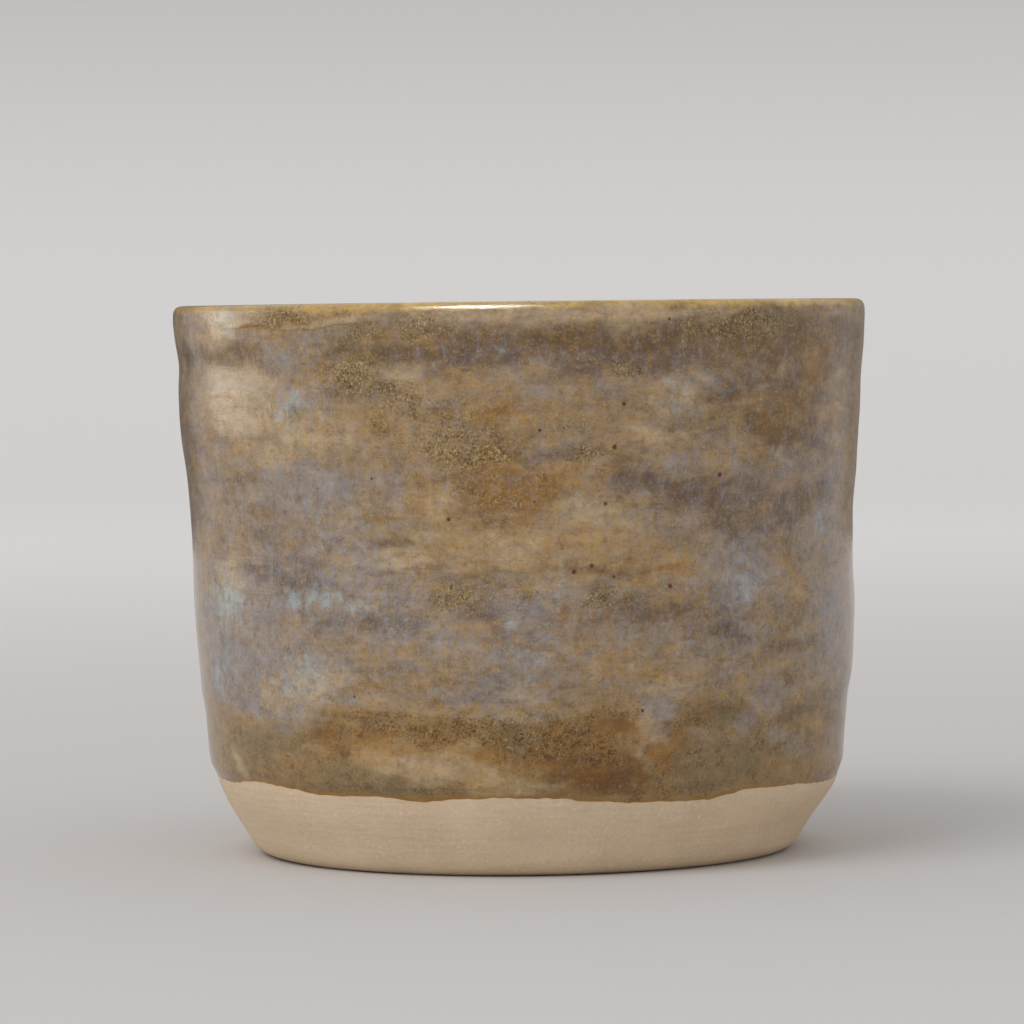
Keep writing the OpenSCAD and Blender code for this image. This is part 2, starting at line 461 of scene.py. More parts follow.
# Washes of colour in the glaze. Each has its colour, how much it covers at most, how it shows, the size
# in millimetres and the upward squeeze of the grain that breaks it up, and its strokes on the front as
# bearing, height, half length, half height, strength and, where one slants, its slope. Band and gold
# have no strokes, because the coats lay them on. A few strokes of cream and frost on the upper left are
# painted reflection of the window
WASHES = {
    "band": ("#997C50", 0.9, CRISP, (2.5, 1.3), []),
    "gold": ("#CBA85A", 0.85, CRISP, (1.6, 1.2), []),
    "lavender": ("#97908F", 0.75, CRISP, (3.4, 1.5), [
        (-42, 50.5, 4, 2.2, 0.8), (-38, 46.3, 4.5, 2, 0.75), (-46, 43, 5, 1.5, 0.5),
        (-40, 37.8, 8, 3.4, 0.8), (-23, 38.8, 3, 1.5, 0.6), (-9, 51.2, 4.5, 1.4, 0.4),
        (2, 48, 4, 1.8, 0.2), (4, 45, 3, 1.5, 0.35), (4, 28, 3.5, 1.4, 0.6), (4, 24.2, 3, 1.4, 0.6),
        (-50, 25.8, 4, 1.4, 0.8), (37, 14, 5, 1.5, 0.4), (-31, 47.2, 3, 1.2, 0.6),
        (-2, 26.2, 3, 1.2, 0.5), (-2, 19.8, 3, 1.2, 0.4), (-19, 36.7, 3, 1.2, 0.5),
        (10, 19.7, 3, 1.1, 0.5), (-42, 17.6, 4, 1.4, 0.8), (50, 12.8, 6, 1.5, 0.5),
        (-34, 19.8, 4, 1.6, 0.6), (66, 38, 4, 2, 0.5), (-20, 22, 4, 1.5, 0.6), (-42, 17.4, 4, 1.2, 0.7),
        (25, 48, 5, 2, 0.5), (41, 39.8, 9.5, 1.6, 0.55), (30, 36, 8, 4, 0.4), (55, 38, 8, 4, 0.4),
        (50, 33.5, 5, 2, 0.6), (63, 33, 5, 2.2, 0.8), (39, 28, 4.5, 5, 1), (66, 44, 5, 6, 0.15),
        (66, 24, 6, 7, 0.9), (-70, 37, 6, 5, 0.4), (-66, 22, 6, 6, 0.8), (-45, 29, 9, 4.5, 0.8),
        (-28, 31, 6, 2, 0.6), (-24, 26.5, 6, 2.6, 0.6), (-16, 24.6, 6, 2, 0.5), (0, 26.2, 4, 1.6, 0.5),
        (18, 24, 6, 3, 0.5), (-50, 21, 10, 3.5, 0.85), (-49, 16.2, 7, 1.7, 0.7), (-3, 20.6, 3, 3, 0.45),
        (34, 21.5, 4, 2, 0.5), (-10, 18, 4, 1.8, 0.6), (24.5, 15.8, 2.4, 2.6, 0.95, 0.5),
        (42, 18.8, 5, 2, 0.5), (44, 15.5, 5, 1.2, 0.4), (60, 11.5, 7, 1.8, 0.5),
    ]),
    # Cream of the glaze. Its strokes on the upper left, on the lip near bearing -57 and on the wall near
    # bearing -52 at about 45 mm, are painted reflection of the window
    "cream": ("#BFA785", 0.82, CRISP, (3.2, 1.6), [
        (-1, 32.2, 4, 1.3, 0.7), (-22, 30.7, 7, 1.2, 0.7), (-18, 48.7, 3.4, 1.5, 1),
        (24, 47.1, 1.8, 1.3, 1), (52, 40.2, 3.4, 1.2, 0.6), (-8, 30.4, 3.4, 1, 0.6),
        (4, 30.4, 3.4, 1, 0.6), (30, 48, 1.2, 0.8, 0.8), (-31, 47, 2.6, 1.2, 0.4),
        (-61, 29.6, 2.6, 2, 0.5), (22, 13.6, 2.4, 1.8, 0.95), (22, 42.7, 3.5, 1.6, 0.7),
        (14, 34, 5, 1.6, 0.6), (-58, 28.5, 2.4, 3, 0.3), (-26, 26.3, 1.7, 1.4, 0.6),
        (-20.5, 11.6, 5.4, 1.5, 1), (-19, 11.3, 4.2, 1.4, 0.8), (-13.5, 10.5, 5, 1.2, 0.5),
        (19.5, 12.7, 1.1, 1.2, 0.9), (-63, 9.9, 1.1, 1.7, 1, -0.3), (-1.5, 8.9, 4.2, 0.9, 1),
        (-8, 9.6, 3, 0.8, 0.5), (0, 54.1, 13, 0.9, 0.85), (19, 54, 12, 0.9, 0.9),
        (64, 54.4, 5, 0.7, 0.4), (-52, 44.9, 5.6, 2.6, 0.95), (-46, 44.8, 4, 1.7, 1),
        (-39, 44.8, 3.4, 1.5, 0.85), (-48, 41, 4, 1.7, 0.6), (10, 32.4, 4, 1.3, 0.7),
        (66, 46, 4, 6, 0.35), (-36, 42.6, 5.5, 1.8, 0.75), (-13, 36.4, 3, 1.4, 0.8),
        (-10, 32.6, 5, 1.4, 0.8), (14, 36, 4, 1.2, 0.6), (-57, 53.6, 2.8, 1.8, 1),
        (-57.5, 52.4, 2.6, 1.2, 0.9), (0, 18, 4, 1.2, 0.6), (-39, 19, 6, 2.6, 0.75),
        (-41, 15.8, 5, 1, 0.6), (24, 18.5, 4, 1.5, 0.6), (-8, 15.8, 2.5, 0.8, 0.5),
        (-47, 17.3, 5, 1.3, 0.6), (66, 39, 3, 2.2, 0.4),
    ]),
    "slate": ("#614F47", 0.87, SOFT, (4.2, 1.9), [
        (-50, 29, 3.6, 2.7, 1), (-41, 28, 3, 1.5, 0.8), (56, 14.4, 5, 1.2, 0.5),
        (-12, 51.4, 4, 1.4, 0.9), (28, 51.2, 4, 1.4, 0.7), (27.5, 25.6, 2.8, 1.2, 0.6),
        (-8, 17.9, 4, 0.9, 0.5), (-59, 36.4, 3, 1.4, 0.4), (-20, 25, 4, 1.6, 0.5),
        (-10, 50.9, 7, 2.2, 0.95), (9, 50.5, 6, 2, 0.95), (21, 50.4, 5, 2.2, 1),
        (24, 37.9, 5.5, 1.5, 0.85, -0.25), (32, 36.5, 5, 1.6, 0.9), (49, 35, 6, 1.7, 0.85),
        (21, 26.2, 7, 1.4, 0.6), (35, 23.8, 3.5, 1.4, 0.7), (-5, 24.6, 2.8, 1, 0.75, -0.6),
        (-47, 36, 3, 1.2, 0.5), (-31, 25.3, 4.5, 1, 0.6), (-68, 50.7, 6, 1.2, 0.8),
        (36, 33, 1.2, 3, 0.5), (52, 32, 1.2, 3, 0.5), (5, 40.7, 3.4, 1.1, 0.65), (70, 16, 6, 1.6, 0.7),
        (60, 37, 4, 1, 0.7), (-52, 33, 3, 0.8, 0.5), (55, 49, 6, 2, 0.5), (34, 48.5, 5, 1.2, 0.3),
        (56, 45, 9, 9, 0.55), (-70, 41, 5, 9, 0.4), (34, 43, 5, 1.5, 0.45), (68, 51.6, 5, 1.6, 0.9),
        (-2, 52.6, 4, 1, 0.6), (35, 46.7, 3, 1.2, 0.7), (-20, 32.5, 4, 1, 0.6), (22, 51, 3.4, 1.4, 0.9),
        (-11, 51.4, 4, 1.2, 0.7),
    ]),
    "honey": ("#AC8A58", 0.7, CRISP, (3.4, 1.6), [
        (-23, 44, 6, 2.6, 0.8), (-20, 52.5, 3.4, 1.6, 0.95), (-47, 53.4, 2.6, 0.9, 0.9),
        (-21, 13.2, 6, 0.9, 0.8), (-8, 34.5, 4, 1.2, 0.8), (-2, 30.3, 4.5, 1.2, 0.8),
        (-39, 44.5, 4, 2, 0.5), (36, 40.4, 4, 1.5, 0.6), (-4, 45.5, 4.2, 2.6, 0.8),
        (-7, 48.8, 3, 1.4, 0.7), (-9, 40.7, 4, 1.5, 0.6), (10, 39.3, 4, 1.5, 0.6),
        (12, 32.4, 7.5, 2.6, 0.75), (-15, 36.8, 4, 2, 0.7), (-13, 32.5, 4.5, 1.2, 0.7),
        (22, 30.3, 3.2, 1, 0.9), (51, 28.8, 2.3, 3, 0.7), (49, 44.4, 5.2, 2.4, 0.9),
        (54, 49.2, 2.1, 2.4, 0.7), (-24, 21.5, 4, 1.6, 0.45), (12, 20.3, 5, 1.9, 0.3),
        (-8, 9.3, 3, 0.9, 0.7), (-14, 11.6, 3, 1, 0.5), (26, 20, 2.2, 1.4, 0.5),
        (-67, 32.4, 3.6, 2.5, 0.3), (-15, 19.3, 4, 1.5, 0.45), (-34, 15.6, 4.5, 1.2, 0.9),
        (-28, 11.4, 4, 1.4, 0.8), (-46, 11, 6, 1.4, 0.6), (-8, 16.6, 8, 0.6, 0.75),
        (-53, 41.4, 5, 1.2, 0.5), (62, 13.6, 6, 0.7, 1), (10, 44, 4, 2, 0.45), (0.6, 28.6, 4, 1.4, 0.5),
        (16.5, 15.4, 3, 1, 0.5),
    ]),
    "umber": ("#664C2C", 0.86, SOFT, (4.2, 1.9), [
        (-24, 51.4, 4.5, 1.3, 0.8), (-12, 51.4, 3.4, 1.3, 0.65), (73, 13.6, 4, 1.4, 0.6),
        (63, 53, 5, 1.3, 1), (52, 42.2, 4, 1.3, 0.7), (-19, 40.8, 3, 1.2, 0.5),
        (-24, 53.4, 3, 0.9, 0.6), (4, 53, 4, 0.7, 0.5), (-54, 50.9, 5, 0.9, 0.9),
        (12, 51.8, 10, 0.9, 0.7), (-26, 49, 3.2, 1.3, 0.7), (-25, 47.2, 3, 1.1, 0.6),
        (-5, 41.5, 3, 0.9, 0.8), (13, 29.8, 4.4, 0.6, 0.7), (44, 51.8, 9, 1.8, 0.9),
        (9, 51.9, 3.2, 0.8, 0.8), (50, 22, 4, 1.2, 0.8), (-11, 29, 3, 1.2, 0.6),
        (36, 15.6, 2.6, 1, 0.55), (3, 14.6, 9, 1, 0.5), (12, 11.4, 4.5, 1.6, 0.5),
        (35, 53, 3.5, 0.9, 0.8), (-31, 51.4, 3, 1.1, 0.6), (13, 41.2, 3, 0.6, 0.5, -0.3),
        (-20, 29.8, 6, 0.3, 0.6), (-37, 13.6, 2, 0.6, 0.6), (-33, 11.8, 0.6, 1, 0.6),
        (13, 25, 3, 0.8, 0.5), (48, 43.8, 4.8, 1.9, 0.85), (-31, 15.6, 4, 0.4, 0.6),
        (-18, 15, 7, 0.7, 0.5), (14, 14, 3, 1.4, 0.6), (12, 9.8, 5.5, 1.4, 0.9), (52, 47, 7, 2.4, 0.6),
        (0.6, 12.6, 3, 1.2, 0.35), (-44, 54.3, 4.4, 0.7, 0.6), (75, 10.8, 4, 2.2, 0.6),
    ]),
    "amber": ("#8E6426", 0.8, CRISP, (3, 1.5), [
        (-1, 37.2, 6, 3, 1), (-7, 41, 3, 2, 0.7), (-2, 45, 3.6, 1.7, 0.6), (48, 43.9, 4.6, 2, 0.35),
        (26, 11.3, 2.4, 1.8, 0.8), (56, 49, 2.6, 3, 0.8), (-44, 54.1, 4.6, 0.9, 1),
        (-45, 53.4, 4, 0.8, 0.7), (-19, 14.5, 8, 1.1, 0.5), (-31, 13.4, 4, 1.6, 0.7),
        (12, 12.4, 5.3, 3, 0.95), (-4, 11.6, 3, 1.2, 0.7), (4, 12.4, 4, 1.6, 0.8),
        (9, 12.8, 3.4, 1.3, 0.8), (22, 30, 2.2, 0.5, 0.9), (29, 13.3, 3.4, 1.6, 1),
        (-20, 44, 4, 1.4, 0.4),
    ]),
    "rust": ("#68401C", 0.7, CRISP, (1.8, 1.6), [
        (11, 10, 4.8, 1.3, 0.8), (11.5, 11.9, 4.2, 0.6, 1), (16, 11.6, 2.5, 0.6, 0.7),
        (17, 9.4, 3, 1, 0.5), (9, 13.2, 3, 0.8, 0.5),
    ]),
    "olive": ("#7F7054", 0.75, CRISP, (3, 1.5), [
        (-52, 11.8, 7, 2.2, 0.7), (-31, 9.6, 5, 1.1, 0.9), (36, 10.8, 4.6, 2.6, 1),
        (56, 11, 8, 2.4, 0.4), (1, 13.1, 2.2, 1.9, 0.7), (-22, 8.9, 5, 0.7, 0.9),
        (37, 15.5, 2.6, 1.6, 0.6), (48, 53.6, 9, 0.8, 0.6), (25, 8.7, 4, 0.8, 0.5),
        (48, 44, 4, 1.6, 0.4), (30, 10, 3, 2, 0.6),
    ]),
    # Frost of the glaze. Its stroke on the lip near bearing -55 is painted reflection of the window
    "frost": ("#AABBC0", 0.65, SPARSE, (1.2, 0.8), [
        (-47, 26.6, 3, 1.2, 0.45), (-38, 27, 3, 1.6, 0.8), (-30, 26.2, 3, 1.2, 0.7),
        (-39, 20, 5, 1.8, 0.75), (-64, 19, 4, 2.5, 0.85), (-61, 26.8, 3.4, 2.6, 0.85),
        (-39, 45.2, 4, 2.2, 0.75), (-32, 32.3, 3, 1.4, 0.6), (40, 28, 3.6, 5, 0.6),
        (27, 45.4, 3.5, 1.2, 0.6), (25, 47.4, 1.5, 0.9, 0.7), (-55.5, 53.7, 3, 1.5, 0.75),
        (-42, 18, 3, 1, 0.5), (-62, 25.4, 3, 1.6, 0.7), (-1, 21, 1.6, 3, 0.55),
        (5.5, 30.5, 0.8, 3.5, 0.6), (-20, 24.5, 4, 2, 0.45), (62, 33, 4, 3, 0.5), (2, 26, 4, 2.5, 0.45),
        (-40, 37, 6, 3, 0.4), (-2, 51, 5, 1.2, 0.4),
    ]),
}
# Strokes where crystals gather in dark and pale flecks, the grain that breaks them up, and their colours
MOSS = [
    (-24, 48.3, 4.8, 1.8, 1, -0.45), (-8.5, 41, 3.6, 2.2, 1), (-27, 53, 2, 1, 0.7),
    (-17, 53, 2.6, 1.4, 0.4), (38, 53.2, 6, 1.1, 1), (-42.5, 54.2, 4.4, 0.9, 1),
    (-14, 53.8, 2.6, 0.8, 0.7), (-12, 44, 5, 2.4, 0.5), (16.5, 49.3, 1.8, 0.8, 0.8),
    (11, 41, 1.8, 1.2, 0.7), (-11, 27.8, 3.4, 1.5, 0.8), (15, 27, 2.8, 1.6, 0.7),
    (-16, 14.6, 11, 1.3, 1), (4, 13.4, 7, 1.9, 0.9), (14, 12.6, 5, 1.8, 0.8),
    (33, 15.4, 2.4, 1.2, 0.45), (-15, 9.1, 4.5, 0.6, 0.8), (29.5, 12.2, 2.6, 0.8, 0.6),
    (-3, 37, 4, 2, 0.5), (10, 44, 3, 1, 0.4),
]
MOSS_GRAIN = (2, 1.3)
MOSS_GROUND = "#856A42"
MOSS_DARK = "#472E18"
MOSS_PALE = "#B3A878"
# Width of a crystal and of a cluster of specks. Real ones are finer still, but would not show
CRYSTAL_SIZE = 0.25
SPECK_SIZE = 0.9
# Specks in gold, blue grey and red brown, as colour, channel of the noise and the most they cover
SPECKS = [("#BE9648", "Red", 0.45), ("#989FA6", "Green", 0.4), ("#684222", "Blue", 0.5)]
# Thin lower edge of the base coat, burnt brown, and the blue of runs down the wall
BURNT_EDGE = "#9A6C2A"
BLUE_RUN = "#8795AC"
# The ground of the glaze is a grey taupe. Streaks in it are ochre and brown, as colour, grain, and where
# the grain starts to show and shows in full
GROUND = "#978879"
STREAKS = [("#A4865C", "ochre", 0.36, 0.62), ("#7A6348", "smoke", 0.48, 0.74)]
# Grain that lies all over the glaze, as size in millimetres and upward squeeze: ochre and brown streaks,
# clouds of light and shade, brush lines about 0.5 mm apart, runs down the wall, a grit that is drawn
# coarser than the real one so that it shows, and the blue runs
ALL_OVER = {
    "ochre": (4.4, 1.9), "smoke": (6, 2.6), "shade": (2.4, 1.4), "line": (6, 12), "run": (0.7, 0.12),
    "grit": (0.22, 1), "blue_run": (0.4, 0.16),
}
# How much each grain lightens and darkens the glaze, and how far apart two grains lie in the noise
TONES = [("shade", 1.0), ("line", 0.35), ("run", 0.25), ("grit", 0.5)]
NOISE_APART = 7.3
# Specks of iron that bled through, as bearing, height and radius
IRON = "#5C2400"
IRON_SPECKS = [
    (16.5, 45.7, 0.28), (15, 41.6, 0.3), (34, 38.7, 0.32), (2, 36.5, 0.2), (-12, 34.9, 0.3),
    (13.6, 36.2, 0.3), (-25, 38.8, 0.22), (11.3, 30.3, 0.32), (8.3, 29.8, 0.3), (24.8, 28.2, 0.34),
    (3, 43.3, 0.22), (13.3, 16.8, 0.28), (20, 16.3, 0.24), (-28, 47.6, 0.2), (24, 53.7, 0.2),
    (1.5, 54.8, 0.22), (15, 29.2, 0.22), (-30, 17.8, 0.22),
]
# Strokes on the back lie this much wider apart than on the front, shifted at random by up to so many
# degrees, and up or down by so many millimetres, more on the open wall than near an edge of a coat
BACK_SPREAD = 1.2
BACK_ASIDE = 16
BACK_SHIFT = 4
BACK_SHIFT_AT_EDGE = 0.4
OPEN_WALL = (18, 50)


def strokes_all_round(strokes, seed):
    """The strokes of a wash on the front, and their like on the back in other places. Those near an
    edge of a coat stay near their height."""
    rng = np.random.default_rng(seed)
    low, high = OPEN_WALL
    back = []
    for at, up, *rest in strokes:
        free = BACK_SHIFT if low < up < high else BACK_SHIFT_AT_EDGE
        rise = rng.uniform(-free, free)
        aside = rng.uniform(-BACK_ASIDE, BACK_ASIDE)
        back.append((180 - BACK_SPREAD * at + aside, up + rise, *rest))
    return strokes + back


def laid_on(bearing, height, strokes, seed):
    """How strongly the strokes of a wash lie at places on the outside."""
    aside = ripple("strokes_aside", bearing, height)
    upward = ripple("strokes_upward", bearing, height)
    bare = np.ones(np.broadcast(bearing, height).shape)
    for at, up, long, tall, strength, *slope in strokes_all_round(strokes, seed):
        along = np.radians((bearing - at + 180) % 360 - 180) * WAIST_R + aside
        above = height - up + upward - sum(slope) * along
        bare *= 1 - strength * np.exp(-((along / long) ** 2) - (above / tall) ** 2)
    return 1 - bare


def wash_layers(bearing, height):
    """Every layer of colour that strokes lay on the glaze."""
    strokes = {name: wash[-1] for name, wash in WASHES.items()} | {"moss": MOSS}
    return {
        name: laid_on(bearing, height, laid, seed)
        for seed, (name, laid) in enumerate(strokes.items())
    }


def linear(colour):
    """An sRGB hex colour as linear red, green, blue and alpha."""
    parts = [int(colour[i:i + 2], 16) / 255 for i in (1, 3, 5)]
    return [c / 12.92 if c <= 0.04045 else ((c + 0.055) / 1.055) ** 2.4 for c in parts] + [1]


def add(tree, kind, inputs=(), **settings):
    """Adds a shader node with its settings. An input is a value, or an output socket to link."""
    made = tree.nodes.new("ShaderNode" + kind)
    for name, value in settings.items():
        setattr(made, name, value)
    for socket, value in dict(inputs).items():
        if isinstance(value, bpy.types.NodeSocket):
            tree.links.new(value, made.inputs[socket])
        else:
            made.inputs[socket].default_value = value
    return made.outputs


# Settings of nodes that come again and again
SMOOTH = {"interpolation_type": "SMOOTHSTEP"}
TIMES = {"operation": "MULTIPLY"}
TIMES_PLUS = {"operation": "MULTIPLY_ADD"}
COLOURS = {"data_type": "RGBA"}


def new_material(name):
    """An empty material and its node tree."""
    material = bpy.data.materials.new(name)
    material.use_nodes = True
    material.node_tree.nodes.clear()
    return material, material.node_tree


def millimetres(tree):
    """Places on the cup in millimetres, for patterns to follow."""
    place = add(tree, "TexCoord")["Object"]
    return add(tree, "VectorMath", {0: place, 1: (1 / MM,) * 3}, **TIMES)["Vector"]


def fired(tree, colour, roughness, ior, relief, strength, depth):
    """Gives a fired surface its shader, with relief of a depth in millimetres."""
    bump = add(tree, "Bump", {"Height": relief, "Strength": strength, "Distance": depth * MM})
    finish = {"Base Color": colour, "Roughness": roughness, "Normal": bump["Normal"], "IOR": ior}
    add(tree, "OutputMaterial", {"Surface": add(tree, "BsdfPrincipled", finish)["BSDF"]})


def reactive_glaze(name, roughness, pits):
    """Reactive stoneware glaze, brushed on and fired: clouded where the coats mixed, streaked round the
    cup, flecked with crystals and iron, finely pitted, and between satin and gloss."""
    material, tree = new_material(name)
    place = millimetres(tree)
    grain = {}
    sizes = ALL_OVER | {wash: size for wash, (*_, size, _) in WASHES.items()} | {"moss": MOSS_GRAIN}
    for number, (kind, (size, squeeze)) in enumerate(sizes.items()):
        scale = {0: place, 1: (1 / size, 1 / size, squeeze / size), 2: (NOISE_APART * number, 0, 0)}
        lay = add(tree, "VectorMath", scale, **TIMES_PLUS)["Vector"]
        look = {"Vector": lay, "Scale": 1, "Detail": 8, "Roughness": 0.66, "Distortion": 0.4}
        grain[kind] = add(tree, "TexNoise", look)["Fac"]
    layer = {}
    for kind in (*WASHES, "moss", "burnt"):
        layer[kind] = add(tree, "Attribute", attribute_name=kind)["Fac"]
    # Shades that lie over the ground of the glaze, each with the share that it covers
    shades = []
    for shade, kind, low, high in STREAKS:
        share = {0: grain[kind], 1: low, 2: high}
        shades.append((shade, add(tree, "MapRange", share, **SMOOTH)[0]))
    for wash, (shade, most, (low, high), _, _) in WASHES.items():
        lies = add(tree, "Math", {0: grain[wash], 1: GRAIN_GAIN, 2: layer[wash]}, **TIMES_PLUS)[0]
        share = {0: lies, 1: low, 2: high, 4: most}
        shades.append((shade, add(tree, "MapRange", share, **SMOOTH)[0]))
    # Blue runs show most where the glaze is lavender, and not on the bare band of the base coat
    blue = add(tree, "Math", {0: layer["lavender"], 1: 0.12, 2: grain["blue_run"]}, **TIMES_PLUS)[0]
    blue = add(tree, "Math", {0: layer["band"], 1: -0.3, 2: blue}, **TIMES_PLUS)[0]
    shades.append((BLUE_RUN, add(tree, "MapRange", {0: blue, 1: 0.58, 2: 0.74, 4: 0.44})[0]))
    # Specks all over, fewer on the bare band
    look = {"Vector": place, "Scale": 1 / SPECK_SIZE, "Detail": 5, "Roughness": 0.8}
    speck = add(tree, "SeparateColor", {0: add(tree, "TexNoise", look)["Color"]})
    for shade, channel, most in SPECKS:
        shows = add(tree, "Math", {0: layer["band"], 1: -0.05, 2: speck[channel]}, **TIMES_PLUS)[0]
        shades.append((shade, add(tree, "MapRange", {0: shows, 1: 0.5, 2: 0.7, 4: most})[0]))
    # Crystals: dark veins and pale dots in clusters on a browner ground, and a few pale dots all over
    look = {"Vector": place, "Scale": 1 / CRYSTAL_SIZE, "Detail": 3, "Roughness": 0.75}
    fleck = add(tree, "SeparateColor", {0: add(tree, "TexNoise", look)["Color"]})
    vein = add(tree, "Math", {0: speck["Green"], 1: 0.6, 2: fleck["Red"]}, **TIMES_PLUS)[0]
    pale = add(tree, "Math", {0: layer["band"], 1: -0.06, 2: fleck["Green"]}, **TIMES_PLUS)[0]
    moss = add(tree, "Math", {0: grain["moss"], 1: GRAIN_GAIN, 2: layer["moss"]}, **TIMES_PLUS)[0]
    moss = add(tree, "MapRange", {0: moss, 1: 1.2, 2: 2.1, 3: 0.08}, **SMOOTH)[0]
    shades.append((MOSS_GROUND, add(tree, "Math", {0: moss, 1: 0.45}, **TIMES)[0]))
    crystals = [(MOSS_DARK, vein, 0.8, 0.7, 0.8), (MOSS_PALE, pale, 0.54, 0.62, 0.85)]
    for shade, value, low, high, most in crystals:
        shows = add(tree, "MapRange", {0: value, 1: low, 2: high, 4: most})[0]
        shades.append((shade, add(tree, "Math", {0: shows, 1: moss}, **TIMES)[0]))
    shades.append((MOSS_PALE, add(tree, "MapRange", {0: pale, 1: 0.61, 2: 0.67, 4: 0.55})[0]))
    shades.append((BURNT_EDGE, layer["burnt"]))
    # Iron: how far the nearest speck is, 9 at most, counted in 0.65 of its radius, with an uneven edge
    far = 9
    for at, up, radius in strokes_all_round(IRON_SPECKS, len(WASHES)):
        ends = {0: place, 1: outside_point(at, up)}
        off = add(tree, "VectorMath", ends, operation="DISTANCE")["Value"]
        off = add(tree, "Math", {0: off, 1: 0.65 * radius}, operation="DIVIDE")[0]
        far = add(tree, "Math", {0: off, 1: far}, operation="MINIMUM")[0]
    far = add(tree, "Math", {0: speck["Blue"], 1: 2.4, 2: far}, **TIMES_PLUS)[0]
    shades.append((IRON, add(tree, "MapRange", {0: far, 1: 2.8, 2: 1.6, 4: 0.95}, **SMOOTH)[0]))
    colour = linear(GROUND)
    for shade, share in shades:
        colour = add(tree, "Mix", {0: share, 6: colour, 7: linear(shade)}, **COLOURS)[2]
    tone = 0
    for kind, gain in TONES:
        tone = add(tree, "Math", {0: grain[kind], 1: gain, 2: tone}, **TIMES_PLUS)[0]
    colour = add(tree, "HueSaturation", {"Value": tone, "Color": colour})["Color"]
    gloss = {0: speck["Red"], 1: 0.3, 2: 0.7, 3: roughness - 0.03, 4: roughness + 0.05}
    gloss = add(tree, "MapRange", gloss)[0]
    rise = add(tree, "Math", {0: fleck["Red"], 1: moss}, **TIMES)[0]
    relief = add(tree, "Math", {0: rise, 1: 0.8, 2: grain["line"]}, **TIMES_PLUS)[0]
    relief = add(tree, "Math", {0: fleck["Blue"], 1: pits, 2: relief}, **TIMES_PLUS)[0]
    fired(tree, colour, gloss, ior=1.4, relief=relief, strength=0.25, depth=0.1)
    return material


# Bare clay: two tans in patches, a deeper one in the turning lines, and pale and dark grog, as channel
# of the noise, colour and how much it covers at most. The grog is drawn coarse enough to show
CLAY_TANS = ("#D6BFA1", "#DFC8AA")
CLAY_LINES = "#CAB293"
GROG = [("Red", "#EDD9BD", 0.5), ("Blue", "#B79E82", 0.25)]
CLAY_PATCH_SIZE = 7
TURNING_LINE_SIZE = 0.5
GROG_SIZE = 0.4


def bare_stoneware():
    """Bare stoneware, trimmed on the wheel: matte, tan and dry, with fine turning lines and grog."""
    material, tree = new_material("bare_stoneware")
    place = millimetres(tree)
    turned = add(tree, "VectorMath", {0: place, 1: (0.06, 0.06, 1)}, **TIMES)["Vector"]
    look = {"Vector": turned, "Scale": 1 / TURNING_LINE_SIZE, "Detail": 4, "Roughness": 0.6}
    lines = add(tree, "TexNoise", look)["Fac"]
    patch = add(tree, "TexNoise", {"Vector": place, "Scale": 1 / CLAY_PATCH_SIZE, "Detail": 3})["Fac"]
    look = {"Vector": place, "Scale": 1 / GROG_SIZE, "Detail": 2, "Roughness": 0.6}
    grog = add(tree, "SeparateColor", {0: add(tree, "TexNoise", look)["Color"]})
    tone = add(tree, "MapRange", {0: patch, 1: 0.35, 2: 0.65})[0]
    tan, pale_tan = (linear(shade) for shade in CLAY_TANS)
    colour = add(tree, "Mix", {0: tone, 6: tan, 7: pale_tan}, **COLOURS)[2]
    shows = add(tree, "MapRange", {0: lines, 1: 0.5, 2: 0.7, 4: 0.35})[0]
    colour = add(tree, "Mix", {0: shows, 6: colour, 7: linear(CLAY_LINES)}, **COLOURS)[2]
    for channel, shade, most in GROG:
        shows = add(tree, "MapRange", {0: grog[channel], 1: 0.55, 2: 0.7, 4: most})[0]
        colour = add(tree, "Mix", {0: shows, 6: colour, 7: linear(shade)}, **COLOURS)[2]
    relief = add(tree, "Math", {0: grog["Red"], 1: 0.5, 2: lines}, **TIMES_PLUS)[0]
    fired(tree, colour, roughness=0.88, ior=1.45, relief=relief, strength=0.35, depth=0.15)
    return material


# Liner: two beiges in rings, grey clouds, and ochre and brown flecks, as channel of the noise, colour
# and how much they cover at most
LINER_BEIGES = ("#A68E76", "#BFA68A")
LINER_CLOUDS = "#9E9292"
LINER_FLECKS = [("Red", "#A98750", 0.4), ("Blue", "#6A5A48", 0.3)]
LINER_RING_SIZE = 3
LINER_CLOUD_SIZE = 5
LINER_FLECK_SIZE = 0.5


